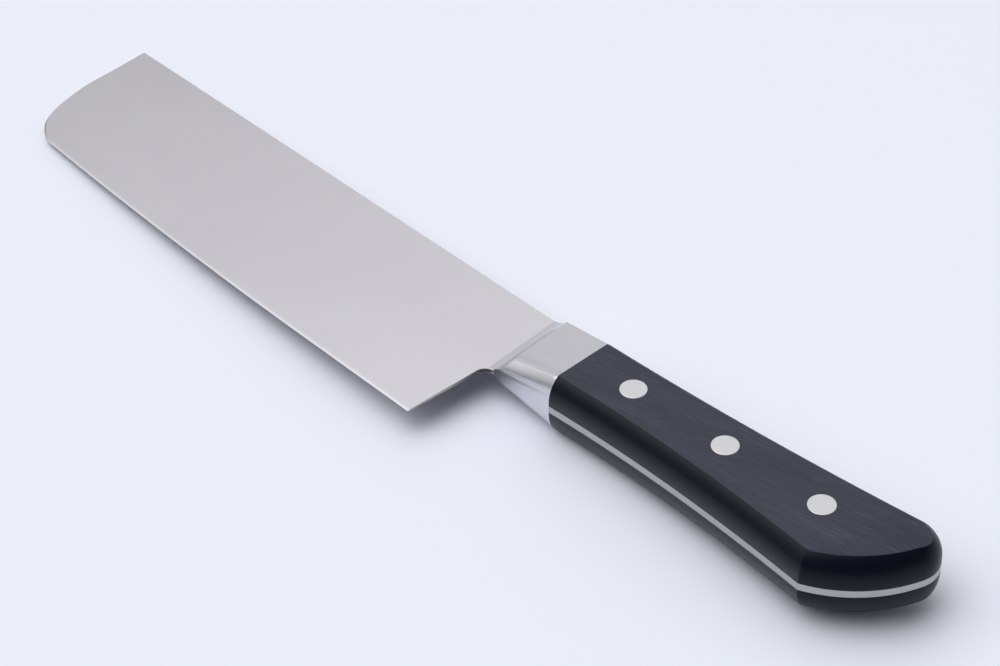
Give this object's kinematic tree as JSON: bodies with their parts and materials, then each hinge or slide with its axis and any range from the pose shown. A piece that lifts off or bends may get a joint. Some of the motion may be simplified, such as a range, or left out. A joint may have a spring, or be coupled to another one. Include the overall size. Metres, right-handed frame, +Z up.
{
  "type": "nakiri knife",
  "caption": "Straight-edged vegetable knife with a tall ground blade, a forged bolster with a cove, a full tang and dark riveted pakkawood scales.",
  "frame": {"origin": "centre of the bounding box on the surface the knife lies on, under the middle of its length", "axes": "+X along the knife to the butt, +Y from the cutting edge to the spine, +Z up, out of the side that shows"},
  "size_m": [0.288, 0.0538, 0.0174],
  "materials": {
    "blade_steel": "fine satin stainless steel, the bolster polished a little brighter",
    "pakkawood": "blue-black resin-filled wood, matte with fine grain on the flats and glossy on the rounded shoulders",
    "rivet_steel": "matte stainless heads ground flush with the scales"
  },
  "bodies": {
    "root": {"blade": "blade_steel", "scale_upper": "pakkawood", "scale_lower": "pakkawood", "rivet_front_pin": "rivet_steel", "rivet_front_sleeve": "rivet_steel", "rivet_middle_pin": "rivet_steel", "rivet_middle_sleeve": "rivet_steel", "rivet_rear_pin": "rivet_steel", "rivet_rear_sleeve": "rivet_steel"}
  },
  "joints": []
}
